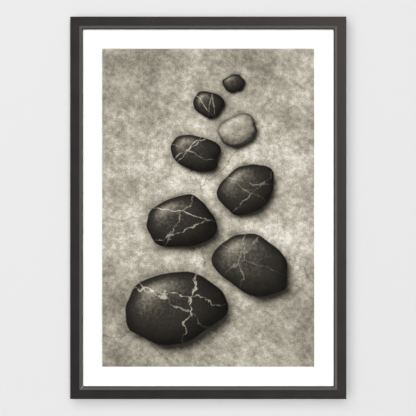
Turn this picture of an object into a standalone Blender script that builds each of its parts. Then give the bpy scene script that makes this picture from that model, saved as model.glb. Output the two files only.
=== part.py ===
"""Framed print: four mitred rails hold picture glass, a window mat, a printed sheet and a backing board.

Metres, +Z up. The front faces -Y, and the wall is towards +Y. The origin is the middle notch of the
sawtooth hanger, where the nail in the wall carries the frame. Depths are measured from the front face.
"""

import math

import bmesh
import bpy

# What shows from the front
PICTURE_WIDTH = 0.3335
PICTURE_HEIGHT = 0.500
BORDER = 0.0301
RAIL_FACE = 0.0195

# The moulding's section: a flat face, a sloping inner edge that ends in a round nose, and a rabbet
RAIL_DEPTH = 0.022
FLAT_FACE = 0.0146
SLOPE = math.radians(30)
NOSE_RADIUS = 0.0022
SHOULDER_RADIUS = 0.0006
ARRIS_RADIUS = 0.0008
BACK_CHAMFER = 0.0004
LIP_DEPTH = 0.0055
RABBET_WIDTH = 0.006
ARC_STEPS = 4

# The pack in the rabbet, from the front
FIT = 0.0003
GLASS = 0.002
MAT = 0.0015
PAPER = 0.0003
BOARD = 0.003
TRIM = 0.0027

# Framer's points
POINT_STEEL = 0.0004
POINT_WIDTH = 0.006
POINT_IN_WOOD = 0.006
POINT_REACH = 0.012
POINT_CURL_FROM = 0.006
POINT_CURL = 0.0012

# V-nails
V_STEEL = 0.0005
V_RISE = 0.003
V_HALF_SPAN = 0.0045
V_HEIGHT = 0.009
V_BELOW_FACE = 0.0001

# Hanger, its nails, and the bumpers that match its stand-off
HANGER_LENGTH = 0.052
HANGER_HEIGHT = 0.010
HANGER_STEEL = 0.001
HANGER_RISE = 0.0022
HANGER_RAISED = 0.028
HANGER_JOGGLE = 0.003
HANGER_CORNER = 0.002
NOTCH_PITCH = 0.003
NOTCH_DEPTH = 0.0018
NOTCHES_EACH_SIDE = 4
NAIL_SHANK = 0.0007
NAIL_HEAD = 0.002
NAIL_HEAD_HEIGHT = 0.0009
NAIL_LENGTH = 0.0095
NAIL_POINT = 0.0018
WALL_CLEARANCE = 0.0003
BUMPER_RADIUS = 0.005
BUMPER_TOP_RADIUS = 0.0036
BUMPER_DOME = 0.0012
BUMPER_FROM_SIDE = 0.024

# Worked out from the sizes above
SIGHT_WIDTH = PICTURE_WIDTH + 2 * BORDER
SIGHT_HEIGHT = PICTURE_HEIGHT + 2 * BORDER
FRAME_WIDTH = SIGHT_WIDTH + 2 * RAIL_FACE
FRAME_HEIGHT = SIGHT_HEIGHT + 2 * RAIL_FACE
BACK_FACE = RAIL_FACE - RABBET_WIDTH
RABBET_OPENING_WIDTH = FRAME_WIDTH - 2 * BACK_FACE
RABBET_OPENING_HEIGHT = FRAME_HEIGHT - 2 * BACK_FACE
SHEET_WIDTH = RABBET_OPENING_WIDTH - TRIM
SHEET_HEIGHT = RABBET_OPENING_HEIGHT - TRIM - FIT
GLASS_AT = LIP_DEPTH + FIT
MAT_AT = GLASS_AT + GLASS + FIT
PAPER_AT = MAT_AT + MAT + FIT
BOARD_AT = PAPER_AT + PAPER + FIT
POINT_AT = BOARD_AT + BOARD + FIT
HANGER_AT = RAIL_DEPTH + FIT
HANGER_RAISED_AT = HANGER_AT + HANGER_RISE
ORIGIN_DEPTH = HANGER_RAISED_AT + HANGER_STEEL / 2
BUMPER_HEIGHT = HANGER_RISE + HANGER_STEEL + WALL_CLEARANCE
HANGER_MARGIN = (BACK_FACE - HANGER_HEIGHT) / 2
NOTCH_HEIGHT = FRAME_HEIGHT / 2 - HANGER_MARGIN - HANGER_HEIGHT + NOTCH_DEPTH
TAB_MIDDLE = (HANGER_LENGTH / 2 + HANGER_RAISED / 2 + HANGER_JOGGLE) / 2
SMALL_ROUND = 16
BUMPER_ROUND = 28

# name, turn about Y, rail length, distance from the middle to the rail's outer side, points' places
SIDES = (
    ("top", 0, FRAME_WIDTH, FRAME_HEIGHT / 2, (-0.11, 0.11)),
    ("right", 90, FRAME_HEIGHT, FRAME_WIDTH / 2, (-0.19, 0.0, 0.19)),
    ("bottom", 180, FRAME_WIDTH, FRAME_HEIGHT / 2, (-0.11, 0.11)),
    ("left", 270, FRAME_HEIGHT, FRAME_WIDTH / 2, (-0.19, 0.0, 0.19)),
)
CORNERS = {
    "top_left": (-1, 1),
    "top_right": (1, 1),
    "bottom_left": (-1, -1),
    "bottom_right": (1, -1),
}
MATERIALS = {
    "charcoal_lacquer": ((0.045, 0.042, 0.040), 0.38, 0.0),
    "clear_glass": ((0.92, 0.95, 0.94), 0.03, 0.0),
    "mat_board": ((0.88, 0.88, 0.87), 0.90, 0.0),
    "toned_print": ((0.29, 0.27, 0.22), 0.60, 0.0),
    "fibreboard": ((0.32, 0.21, 0.12), 0.85, 0.0),
    "spring_steel": ((0.36, 0.37, 0.39), 0.35, 1.0),
    "zinc_plate": ((0.62, 0.62, 0.60), 0.32, 1.0),
    "brass_plate": ((0.60, 0.45, 0.20), 0.30, 1.0),
    "dark_rubber": ((0.02, 0.02, 0.02), 0.75, 0.0),
}


def clear_scene():
    """Removes the objects that the file opened with."""
    for obj in list(bpy.data.objects):
        bpy.data.objects.remove(obj)


def material(name):
    """The named finish, made the first time that a piece asks for it."""
    made = bpy.data.materials.get(name)
    if made:
        return made
    colour, roughness, metallic = MATERIALS[name]
    made = bpy.data.materials.new(name)
    made.use_nodes = True
    shader = made.node_tree.nodes["Principled BSDF"]
    shader.inputs["Base Color"].default_value = (*colour, 1.0)
    shader.inputs["Roughness"].default_value = roughness
    shader.inputs["Metallic"].default_value = metallic
    return made


def add_empty(name, place=(0.0, 0.0, 0.0), turn=0, parent=None):
    """An empty that pieces are placed from, turned about Y by degrees."""
    empty = bpy.data.objects.new(name, None)
    bpy.context.scene.collection.objects.link(empty)
    empty.location = place
    empty.rotation_euler = (0.0, math.radians(turn), 0.0)
    empty.parent = parent
    return empty


def add_piece(name, bm, finish, parent, place=(0.0, 0.0, 0.0), turn=0, round_piece=False):
    """Turns a bmesh into a named object with one finish, faces pointing out."""
    bmesh.ops.recalc_face_normals(bm, faces=bm.faces)
    mesh = bpy.data.meshes.new(name)
    bm.to_mesh(mesh)
    bm.free()
    if finish:
        mesh.materials.append(material(finish))
    if round_piece:
        mesh.shade_smooth()
        mesh.set_sharp_from_angle(angle=math.radians(35))
    obj = bpy.data.objects.new(name, mesh)
    bpy.context.scene.collection.objects.link(obj)
    obj.location = place
    obj.rotation_euler = (0.0, math.radians(turn), 0.0)
    obj.parent = parent
    return obj


def add_cutter(name, bm, parent, place=(0.0, 0.0, 0.0), turn=0):
    """A helper that a Boolean cuts with; it isn't a piece."""
    cutter = add_piece(name, bm, None, parent, place, turn)
    cutter.hide_render = True
    cutter.display_type = "WIRE"
    return cutter


def cut(obj, cutters):
    """Cuts every cutter out of obj with one Boolean on a collection of them."""
    group = bpy.data.collections.new("cut_" + obj.name)
    group.hide_render = True
    bpy.context.scene.collection.children.link(group)
    for cutter in cutters:
        group.objects.link(cutter)
    boolean = obj.modifiers.new("cuts", "BOOLEAN")
    boolean.operation = "DIFFERENCE"
    boolean.operand_type = "COLLECTION"
    boolean.collection = group


def box(x, y, z):
    """A bmesh box between the (low, high) pairs on each axis."""
    bm = bmesh.new()
    bmesh.ops.create_cube(bm, size=1.0)
    for vert in bm.verts:
        for axis, (low, high) in enumerate((x, y, z)):
            vert.co[axis] = high if vert.co[axis] > 0 else low
    return bm


def prism(outline, depth_from, depth_to):
    """A bmesh prism: an outline of (x, z) points, extruded along Y between two depths."""
    bm = bmesh.new()
    face = bm.faces.new([bm.verts.new((x, depth_from, z)) for x, z in outline])
    grown = bmesh.ops.extrude_face_region(bm, geom=[face])["geom"]
    far = [item for item in grown if isinstance(item, bmesh.types.BMVert)]
    bmesh.ops.translate(bm, verts=far, vec=(0.0, depth_to - depth_from, 0.0))
    return bm


def turned(profile, steps):
    """A bmesh turned about Y from (radius, depth) points that start and end on the axis."""
    bm = bmesh.new()
    verts = [bm.verts.new((radius, depth, 0.0)) for radius, depth in profile]
    edges = [bm.edges.new(pair) for pair in zip(verts, verts[1:])]
    bmesh.ops.spin(
        bm, geom=verts + edges, cent=(0, 0, 0), axis=(0, 1, 0), angle=math.tau, steps=steps
    )
    bmesh.ops.remove_doubles(bm, verts=bm.verts, dist=1e-6)
    return bm


def arc(centre, radius, start, end, steps=ARC_STEPS):
    """Points on a circle from one angle to another, in radians, both ends included."""
    angles = (start + (end - start) * step / steps for step in range(steps + 1))
    return [(centre[0] + radius * math.cos(a), centre[1] + radius * math.sin(a)) for a in angles]


def moulding_section():
    """The rail's section as (inward, depth) points, from its outer back edge round by the front."""
    quarter = math.pi / 2
    arris = arc((ARRIS_RADIUS, ARRIS_RADIUS), ARRIS_RADIUS, -math.pi, -quarter)
    ease = SHOULDER_RADIUS * math.tan(SLOPE / 2)
    shoulder = arc((FLAT_FACE - ease, SHOULDER_RADIUS), SHOULDER_RADIUS, -quarter, SLOPE - quarter, 2)
    nose_starts_in = RAIL_FACE - NOSE_RADIUS * (1 - math.sin(SLOPE))
    nose_centre = (
        RAIL_FACE - NOSE_RADIUS,
        (nose_starts_in - FLAT_FACE) * math.tan(SLOPE) + NOSE_RADIUS * math.cos(SLOPE),
    )
    nose = arc(nose_centre, NOSE_RADIUS, SLOPE - quarter, 0)
    return [
        (0, RAIL_DEPTH - BACK_CHAMFER),
        *arris,
        *shoulder,
        *nose,
        (RAIL_FACE, LIP_DEPTH),
        (BACK_FACE, LIP_DEPTH),
        (BACK_FACE, RAIL_DEPTH - BACK_CHAMFER),
        (BACK_FACE - BACK_CHAMFER, RAIL_DEPTH),
        (BACK_CHAMFER, RAIL_DEPTH),
    ]


def rail_body(length, outer_side):
    """A length of moulding with its outer side up, its ends mitred and each half of FIT off the joint."""
    joint = FIT / 2 * math.sqrt(2)
    bm = bmesh.new()
    start = bm.faces.new([bm.verts.new((0, d, outer_side - u)) for u, d in moulding_section()])
    grown = bmesh.ops.extrude_face_region(bm, geom=[start])["geom"]
    far = {item for item in grown if isinstance(item, bmesh.types.BMVert)}
    for vert in bm.verts:
        inward = outer_side - vert.co.z
        vert.co.x = (1 if vert in far else -1) * (length / 2 - inward - joint)
    return bm


def point_body():
    """A flexible point along -Z: its flat end is in the wood, and its round tip bends up off the board."""
    half = POINT_WIDTH / 2
    tip_from = POINT_REACH - half
    stations = [(-POINT_IN_WOOD, half * 0.7), (-POINT_IN_WOOD * 0.8, half), (POINT_CURL_FROM, half)]
    stations += [(tip_from + x, z) for z, x in arc((0, 0), half, 0, math.radians(80), 6)]
    bm = bmesh.new()
    rings = []
    for along, half_width in stations:
        lift = POINT_CURL * (max(0.0, along - POINT_CURL_FROM) / (POINT_REACH - POINT_CURL_FROM)) ** 2
        corners = ((-1, 0), (1, 0), (1, 1), (-1, 1))
        rings.append([bm.verts.new((s * half_width, lift + t * POINT_STEEL, -along)) for s, t in corners])
    for ring, following in zip(rings, rings[1:]):
        for k in range(4):
            bm.faces.new((ring[k], ring[k - 1], following[k - 1], following[k]))
    bm.faces.new(rings[0])
    bm.faces.new(rings[-1])
    return bm


def point_slot():
    """The slot that a point's flat end sits in, FIT clear of it, open to the rabbet."""
    half = POINT_WIDTH / 2 + FIT
    return box((-half, half), (-FIT, POINT_STEEL + FIT), (-RABBET_WIDTH / 4, POINT_IN_WOOD + FIT))


def v_outline(spare=0.0):
    """A V-nail's outline, its apex towards +X and its legs across the mitre; spare grows it all round."""
    tilt = math.atan2(V_RISE, V_HALF_SPAN)
    half_thick = (V_STEEL / 2 + spare) / math.cos(tilt)
    reach = V_HALF_SPAN + spare
    back = V_RISE / 2 - reach * math.tan(tilt)
    apex = V_RISE / 2
    return [
        (back + half_thick, -reach),
        (apex + half_thick, 0),
        (back + half_thick, reach),
        (back - half_thick, reach),
        (apex - half_thick, 0),
        (back - half_thick, -reach),
    ]


def add_v_nails(centre):
    """Four V-nails, and for each corner the slot that both of its rails take."""
    bottom = RAIL_DEPTH - V_BELOW_FACE - V_HEIGHT
    slots = {}
    for corner, (side_x, side_z) in CORNERS.items():
        across = side_x * (FRAME_WIDTH / 2 - BACK_FACE / 2)
        up = side_z * (FRAME_HEIGHT / 2 - BACK_FACE / 2)
        turn = -math.degrees(math.atan2(side_z, side_x))
        nail = prism(v_outline(), bottom, bottom + V_HEIGHT)
        add_piece("v_nail_" + corner, nail, "spring_steel", centre, (across, 0, up), turn)
        slot = prism(v_outline(FIT), bottom - FIT, RAIL_DEPTH + RABBET_WIDTH)
        slots[corner] = add_cutter("slot_v_" + corner, slot, centre, (across, 0, up), turn)
    return slots


def nail_profile():
    """A small nail's (radius, depth) points, from its tip in the wood to its domed head."""
    head_from = HANGER_AT + HANGER_STEEL + FIT
    tip = head_from - NAIL_LENGTH
    dome = [
        (NAIL_HEAD * math.cos(a), head_from + NAIL_HEAD_HEIGHT * (0.35 + 0.65 * math.sin(a)))
        for a in (math.radians(degrees) for degrees in (0, 30, 60))
    ]
    return [
        (0, tip),
        (NAIL_SHANK, tip + NAIL_POINT),
        (NAIL_SHANK, head_from),
        (NAIL_HEAD, head_from),
        *dome,
        (0, head_from + NAIL_HEAD_HEIGHT),
    ]


def nail_hole():
    """The hole that a hanger nail fills, through the tab and into the rail, FIT clear of the shank."""
    head_from = HANGER_AT + HANGER_STEEL + FIT
    bottom = head_from - NAIL_LENGTH - FIT
    radius = NAIL_SHANK + FIT
    return turned([(0, bottom), (radius, bottom), (radius, head_from), (0, head_from)], SMALL_ROUND)


def hanger_bend():
    """The hanger's side view as (x, depth) points: two flat tabs and a raised middle, one plate thick."""
    bend_shift = HANGER_STEEL * math.tan(math.atan2(HANGER_RISE, HANGER_JOGGLE) / 2)
    end, foot, top = HANGER_LENGTH / 2, HANGER_RAISED / 2 + HANGER_JOGGLE, HANGER_RAISED / 2
    low, high = HANGER_AT, HANGER_RAISED_AT
    right_under = [(end, low), (foot, low), (top, high)]
    right_over = [
        (top + bend_shift, high + HANGER_STEEL),
        (foot + bend_shift, low + HANGER_STEEL),
        (end, low + HANGER_STEEL),
    ]
    under = [(-x, d) for x, d in right_under] + right_under[::-1]
    over = right_over[::-1] + [(-x, d) for x, d in right_over]
    return under + over


def hanger_outline():
    """The hanger's face as (x, z) points about the middle notch: rounded tabs and a toothed lower edge."""
    end, low, high = HANGER_LENGTH / 2, -NOTCH_DEPTH, HANGER_HEIGHT - NOTCH_DEPTH
    inset = end - HANGER_CORNER
    teeth = []
    for k in range(-NOTCHES_EACH_SIDE, NOTCHES_EACH_SIDE + 1):
        teeth += [((k - 0.5) * NOTCH_PITCH, low), (k * NOTCH_PITCH, 0)]
    teeth.append(((NOTCHES_EACH_SIDE + 0.5) * NOTCH_PITCH, low))
    turn = math.pi / 2
    return [
        *teeth,
        *arc((inset, low + HANGER_CORNER), HANGER_CORNER, -turn, 0),
        *arc((inset, high - HANGER_CORNER), HANGER_CORNER, 0, turn),
        *arc((-inset, high - HANGER_CORNER), HANGER_CORNER, turn, 2 * turn),
        *arc((-inset, low + HANGER_CORNER), HANGER_CORNER, 2 * turn, 3 * turn),
    ]


def add_hanger(centre, notch):
    """The sawtooth hanger and its two nails. Returns the nail holes, which the top rail takes too."""
    bend = bmesh.new()
    tall = 2 * HANGER_HEIGHT
    face = bend.faces.new([bend.verts.new((x, d, -tall)) for x, d in hanger_bend()])
    grown = bmesh.ops.extrude_face_region(bend, geom=[face])["geom"]
    far = [item for item in grown if isinstance(item, bmesh.types.BMVert)]
    bmesh.ops.translate(bend, verts=far, vec=(0.0, 0.0, 2 * tall))
    hanger = add_piece("hanger", bend, "zinc_plate", notch)

    outline = prism(hanger_outline(), HANGER_AT - HANGER_STEEL, HANGER_RAISED_AT + 2 * HANGER_STEEL)
    keep = hanger.modifiers.new("outline", "BOOLEAN")
    keep.operation = "INTERSECT"
    keep.object = add_cutter("hanger_outline", outline, notch)

    height = HANGER_HEIGHT / 2 - NOTCH_DEPTH
    holes = []
    for name, side in (("left", -1), ("right", 1)):
        place = (side * TAB_MIDDLE, 0, NOTCH_HEIGHT + height)
        nail = turned(nail_profile(), SMALL_ROUND)
        add_piece("hanger_nail_" + name, nail, "brass_plate", centre, place, round_piece=True)
        holes.append(add_cutter("hole_nail_" + name, nail_hole(), centre, place))
    cut(hanger, holes)
    return holes


def add_bumpers(centre):
    """Two round pads on the bottom rail's back that hold the frame off the wall as the hanger does."""
    top_from = HANGER_AT + BUMPER_HEIGHT
    dome = [
        (
            BUMPER_TOP_RADIUS + (BUMPER_RADIUS - BUMPER_TOP_RADIUS) * math.cos(a),
            top_from - BUMPER_DOME * (1 - math.sin(a)),
        )
        for a in (math.radians(degrees) for degrees in (0, 22.5, 45, 67.5, 90))
    ]
    profile = [(0, HANGER_AT), (BUMPER_RADIUS, HANGER_AT), *dome, (0, top_from)]
    for name, side in (("left", -1), ("right", 1)):
        place = (
            side * (FRAME_WIDTH / 2 - BUMPER_FROM_SIDE),
            0,
            BACK_FACE / 2 - FRAME_HEIGHT / 2,
        )
        pad = turned(profile, BUMPER_ROUND)
        add_piece("bumper_" + name, pad, "dark_rubber", centre, place, round_piece=True)


def add_rails(centre, v_slots, nail_holes):
    """Four mitred rails and the framer's points in their rabbets."""
    for side, turn, length, outer_side, point_places in SIDES:
        frame_side = add_empty("side_" + side, turn=turn, parent=centre)
        rail = add_piece("rail_" + side, rail_body(length, outer_side), "charcoal_lacquer", frame_side)
        cutters = [slot for corner, slot in v_slots.items() if side in corner.split("_")]
        if side == "top":
            cutters += nail_holes
        for number, along in enumerate(point_places, start=1):
            place = (along, POINT_AT, outer_side - BACK_FACE)
            add_piece(f"point_{side}_{number}", point_body(), "spring_steel", frame_side, place)
            cutters.append(add_cutter(f"slot_{side}_{number}", point_slot(), frame_side, place))
        cut(rail, cutters)


def sheet_span():
    """The (low, high) pairs across and up of each sheet in the pack, which rests in the bottom rabbet."""
    bottom = FIT - RABBET_OPENING_HEIGHT / 2
    return (-SHEET_WIDTH / 2, SHEET_WIDTH / 2), (bottom, bottom + SHEET_HEIGHT)


def add_sheet(name, finish, centre, depth_from, thickness):
    """A plain sheet of the pack, cut to the rabbet."""
    across, up = sheet_span()
    add_piece(name, box(across, (depth_from, depth_from + thickness), up), finish, centre)


def add_mat(centre):
    """The window mat. Its window is centred in the frame and cut at 45 degrees, widening to the front."""
    across, up = sheet_span()
    half_x, half_z = PICTURE_WIDTH / 2, PICTURE_HEIGHT / 2
    bm = bmesh.new()

    def ring(x, z, depth):
        corners = ((x[0], z[0]), (x[1], z[0]), (x[1], z[1]), (x[0], z[1]))
        return [bm.verts.new((cx, depth, cz)) for cx, cz in corners]

    def window(spread):
        return (-half_x - spread, half_x + spread), (-half_z - spread, half_z + spread)

    rings = [
        ring(across, up, MAT_AT),
        ring(*window(MAT), MAT_AT),
        ring(*window(0), MAT_AT + MAT),
        ring(across, up, MAT_AT + MAT),
    ]
    for before, after in zip(rings, rings[1:] + rings[:1]):
        for c in range(4):
            bm.faces.new((before[c - 1], before[c], after[c], after[c - 1]))
    add_piece("mat", bm, "mat_board", centre)


def main():
    """Builds every piece from the hanger's notch outwards."""
    clear_scene()
    front = -ORIGIN_DEPTH
    centre = add_empty("picture_centre", (0.0, front, -NOTCH_HEIGHT))
    notch = add_empty("hanging_notch", (0.0, front, 0.0))
    v_slots = add_v_nails(centre)
    nail_holes = add_hanger(centre, notch)
    add_rails(centre, v_slots, nail_holes)
    add_sheet("glazing", "clear_glass", centre, GLASS_AT, GLASS)
    add_mat(centre)
    add_sheet("print", "toned_print", centre, PAPER_AT, PAPER)
    add_sheet("backing_board", "fibreboard", centre, BOARD_AT, BOARD)
    add_bumpers(centre)


main()
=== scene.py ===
"""Looks for a wall-hung framed print: charcoal moulding, picture glass, white window mat and a toned print.

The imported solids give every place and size. The moulding, the printed sheet, the framer's points, the
toothed hanger with its tacks and the wall bumpers are made again here at full detail. The glass, the mat,
the backing board and the V-nails keep their solids and get their finish here.
"""

import logging
import math
from collections.abc import Iterable, Sequence
from dataclasses import dataclass
from enum import Enum
from functools import cache, partial, reduce

import bmesh
import bpy
from mathutils import Matrix, Vector

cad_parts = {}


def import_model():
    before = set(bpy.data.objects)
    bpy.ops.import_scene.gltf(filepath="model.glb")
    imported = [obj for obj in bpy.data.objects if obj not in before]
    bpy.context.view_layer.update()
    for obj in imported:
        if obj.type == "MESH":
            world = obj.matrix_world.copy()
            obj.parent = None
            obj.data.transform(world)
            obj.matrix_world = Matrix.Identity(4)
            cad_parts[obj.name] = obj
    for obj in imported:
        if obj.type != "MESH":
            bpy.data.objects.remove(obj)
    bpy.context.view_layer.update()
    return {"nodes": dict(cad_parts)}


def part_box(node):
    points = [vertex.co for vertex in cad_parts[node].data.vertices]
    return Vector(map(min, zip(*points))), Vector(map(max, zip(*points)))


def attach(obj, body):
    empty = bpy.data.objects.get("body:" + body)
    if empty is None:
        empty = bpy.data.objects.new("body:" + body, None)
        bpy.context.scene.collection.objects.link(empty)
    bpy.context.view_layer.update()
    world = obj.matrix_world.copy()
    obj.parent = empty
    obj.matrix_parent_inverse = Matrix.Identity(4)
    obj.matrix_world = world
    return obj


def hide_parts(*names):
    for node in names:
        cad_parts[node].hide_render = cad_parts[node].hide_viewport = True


log = logging.getLogger("framed_print")

BODY = "root"

# Points that lie closer than this are one, in metres
TOUCHING = 1e-6

# Edges are eased where they turn by more than this, in degrees
SHARP_OVER = 40.0

# How wide the edges of a cut sheet are eased, in metres
SHEET_EDGE = 0.0003

# The photograph: a square of this many pixels, this many metres across in the plane of the frame's face
PHOTO_SIDE = 416
PHOTO_SPAN = 0.65125
PHOTO_MIDDLE = (208.26, 207.83)

Socket = bpy.types.NodeSocket
Plain = float | tuple[float, ...]
Feed = Socket | Plain
Colour = tuple[float, float, float, float]
Point = tuple[float, float]
Faces = list[bmesh.types.BMFace]


def linear(red: int, green: int, blue: int) -> Colour:
    """Turns a colour as a screen shows it into the renderer's own.

    Args:
        red: Red, from 0 to 255.
        green: Green, from 0 to 255.
        blue: Blue, from 0 to 255.

    Returns:
        The same colour in scene-linear values, with an alpha of 1.
    """
    shares = (value / 255 for value in (red, green, blue))
    return (*(s / 12.92 if s <= 0.04045 else ((s + 0.055) / 1.055) ** 2.4 for s in shares), 1.0)


class Graph:
    """One shader node tree, with short ways to add nodes and join them."""

    def __init__(self, tree: bpy.types.NodeTree) -> None:
        """Keeps the tree that nodes are added to."""
        self.tree = tree

    def feed(self, socket: Socket, source: Feed) -> None:
        """Sets an input to a plain value, or joins it to another node's output.

        Args:
            socket: The input.
            source: The value or the output.
        """
        if isinstance(source, bpy.types.NodeSocket):
            self.tree.links.new(source, socket)
        else:
            socket.default_value = source

    def add(
        self, kind: str, settings: dict[str, object] | None = None, *sources: Feed, **feeds: Feed
    ) -> bpy.types.Node:
        """Adds a node.

        Args:
            kind: Blender's name for the node's type.
            settings: The node's own options, by name.
            *sources: What goes into its first inputs, in order.
            **feeds: What goes into its other inputs, with _ for a space in the input's name.

        Returns:
            The new node.
        """
        node = self.tree.nodes.new(kind)
        for name, value in (settings or {}).items():
            setattr(node, name, value)
        for socket, source in zip(node.inputs, sources):
            self.feed(socket, source)
        for name, source in feeds.items():
            self.feed(node.inputs[name.replace("_", " ")], source)
        return node

    def place(self, effect: bpy.types.NodeTree, **feeds: Feed) -> bpy.types.Node:
        """Places a shared effect and feeds its inputs. Its outputs are read by name."""
        return self.add("ShaderNodeGroup", {"node_tree": effect}, **feeds)

    def math(self, operation: str, *sources: Feed) -> Socket:
        """The result of a Math node, with its inputs in order."""
        return self.add("ShaderNodeMath", {"operation": operation}, *sources).outputs[0]

    def total(self, *sources: Feed) -> Socket:
        """The sum of any number of values."""
        return reduce(partial(self.math, "ADD"), sources)

    def product(self, *sources: Feed) -> Socket:
        """Any number of values multiplied."""
        return reduce(partial(self.math, "MULTIPLY"), sources)

    def vector_math(self, operation: str, *sources: Feed, output: str = "Vector") -> Socket:
        """The named output of a Vector Math node, with its inputs in order."""
        return self.add("ShaderNodeVectorMath", {"operation": operation}, *sources).outputs[output]

    def scaled(self, vector: Feed, share: Feed) -> Socket:
        """A vector times a value."""
        return self.add("ShaderNodeVectorMath", {"operation": "SCALE"}, vector, Scale=share).outputs[0]

    def spun(self, vector: Feed, angle: Feed) -> Socket:
        """A vector turned about Z, by an angle in radians."""
        about_z = {"rotation_type": "Z_AXIS"}
        return self.add("ShaderNodeVectorRotate", about_z, Vector=vector, Angle=angle).outputs[0]

    def parts(self, vector: Feed) -> tuple[Socket, Socket, Socket]:
        """Splits a vector into its x, y and z."""
        return tuple(self.add("ShaderNodeSeparateXYZ", Vector=vector).outputs)

    def vector(self, x: Feed = 0.0, y: Feed = 0.0, z: Feed = 0.0) -> Socket:
        """Joins three values into a vector."""
        return self.add("ShaderNodeCombineXYZ", X=x, Y=y, Z=z).outputs[0]

    def ramp(self, value: Feed, start: Feed, end: Feed, low: Feed = 0.0, high: Feed = 1.0) -> Socket:
        """Runs smoothly from low to high as a value goes from start to end, and holds beyond them.

        Args:
            value: The value.
            start: Where it starts to change.
            end: Where it stops.
            low: The result before the start.
            high: The result after the end.

        Returns:
            The result.
        """
        smooth = {"interpolation_type": "SMOOTHSTEP"}
        return self.add("ShaderNodeMapRange", smooth, value, start, end, low, high).outputs[0]

    def noise(self, vector: Feed, scale: Feed, detail: float = 2.0, rough: float = 0.5) -> Socket:
        """Noise from 0 to 1 whose blots are about one over scale across."""
        node = self.add("ShaderNodeTexNoise", Vector=vector, Scale=scale, Detail=detail, Roughness=rough)
        return node.outputs[0]

    def drawn_noise(self, vector: Feed, scale: Feed, detail: float, rough: float, output: int = 0) -> Socket:
        """Noise in the plane of a drawing: from 0 to 1, or with output 1 as three such values in a vector."""
        feeds = {"Vector": vector, "Scale": scale, "Detail": detail, "Roughness": rough}
        return self.add("ShaderNodeTexNoise", {"noise_dimensions": "2D"}, **feeds).outputs[output]

    def blend(self, kind: str, mode: str, factor: Feed, first: Feed, second: Feed) -> Socket:
        """Blends two values or two colours.

        Args:
            kind: FLOAT for values and RGBA for colours.
            mode: Blender's name for the way in which the second lies on the first.
            factor: The share of the second, from 0 to 1.
            first: What shows at 0.
            second: What shows at 1.

        Returns:
            The blend.
        """
        node = self.add("ShaderNodeMix", {"data_type": kind, "blend_type": mode}, factor)
        slot, output = (2, 0) if kind == "FLOAT" else (6, 2)
        self.feed(node.inputs[slot], first)
        self.feed(node.inputs[slot + 1], second)
        return node.outputs[output]

    def mix(self, factor: Feed, first: Feed, second: Feed) -> Socket:
        """Blends two values, with a share of the second from 0 to 1."""
        return self.blend("FLOAT", "MIX", factor, first, second)

    def tint(self, factor: Feed, first: Feed, second: Feed) -> Socket:
        """Blends two colours, with a share of the second from 0 to 1."""
        return self.blend("RGBA", "MIX", factor, first, second)

    def bump(self, height: Feed, strength: float, depth: float, under: Socket | None = None) -> Socket:
        """Turns a height from 0 to 1 into a normal, depth metres deep, on top of another bump if given.

        Args:
            height: The height.
            strength: How strongly it shows, from 0 to 1.
            depth: How deep it is, in metres.
            under: The normal that it lies on, if any.

        Returns:
            The normal.
        """
        node = self.add("ShaderNodeBump", Height=height, Strength=strength, Distance=depth)
        if under:
            self.feed(node.inputs["Normal"], under)
        return node.outputs[0]


class Effect(Graph):
    """A shader node group that is being wired."""

    def __init__(self, name: str, inputs: dict[str, Plain], outputs: dict[str, str]) -> None:
        """Makes the group and its sockets.

        Args:
            name: The group's name.
            inputs: Each input's name and its value where nothing feeds it.
            outputs: Each output's name and the kind of its socket.
        """
        super().__init__(bpy.data.node_groups.new(name, "ShaderNodeTree"))
        for label, value in inputs.items():
            kind = "NodeSocketFloat" if isinstance(value, float) else "NodeSocketVector"
            made = self.tree.interface.new_socket(label, in_out="INPUT", socket_type=kind)
            made.default_value = value
        for label, kind in outputs.items():
            self.tree.interface.new_socket(label, in_out="OUTPUT", socket_type=kind)
        self.given = self.tree.nodes.new("NodeGroupInput").outputs
        self.results = self.tree.nodes.new("NodeGroupOutput").inputs

    def give(self, **sources: Feed) -> bpy.types.NodeTree:
        """Joins the results to the group's outputs and returns the finished group.

        Args:
            **sources: What goes to each output, with _ for a space in its name.

        Returns:
            The finished node group.
        """
        for label, source in sources.items():
            self.feed(self.results[label.replace("_", " ")], source)
        return self.tree


VALUE = "NodeSocketFloat"
COLOUR = "NodeSocketColor"
ORIGIN = (0.0, 0.0, 0.0)


@cache
def timber_grain() -> bpy.types.NodeTree:
    """Straight, fine grain that runs along X, for bare timber and for the lacquer that it shows through.

    Returns:
        The finished node group.
    """
    fx = Effect("timber grain", {"Vector": ORIGIN}, {"Tone": VALUE, "Height": VALUE})
    point = fx.given["Vector"]
    bands = fx.noise(fx.vector_math("MULTIPLY", point, (4.0, 260.0, 260.0)), 1.0, 3.0, 0.55)
    fibres = fx.noise(fx.vector_math("MULTIPLY", point, (45.0, 2600.0, 2600.0)), 1.0, 2.0, 0.6)
    pores = fx.noise(fx.vector_math("MULTIPLY", point, (260.0, 3400.0, 3400.0)), 1.0, 0.0)
    pore = fx.ramp(pores, 0.66, 0.74)
    tone = fx.total(fx.product(bands, 0.62), fx.product(fibres, 0.38), fx.product(pore, -0.3))
    height = fx.math("SUBTRACT", fx.product(fibres, 0.5), fx.product(pore, 0.5))
    return fx.give(Tone=tone, Height=fx.total(height, 0.5))


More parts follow.
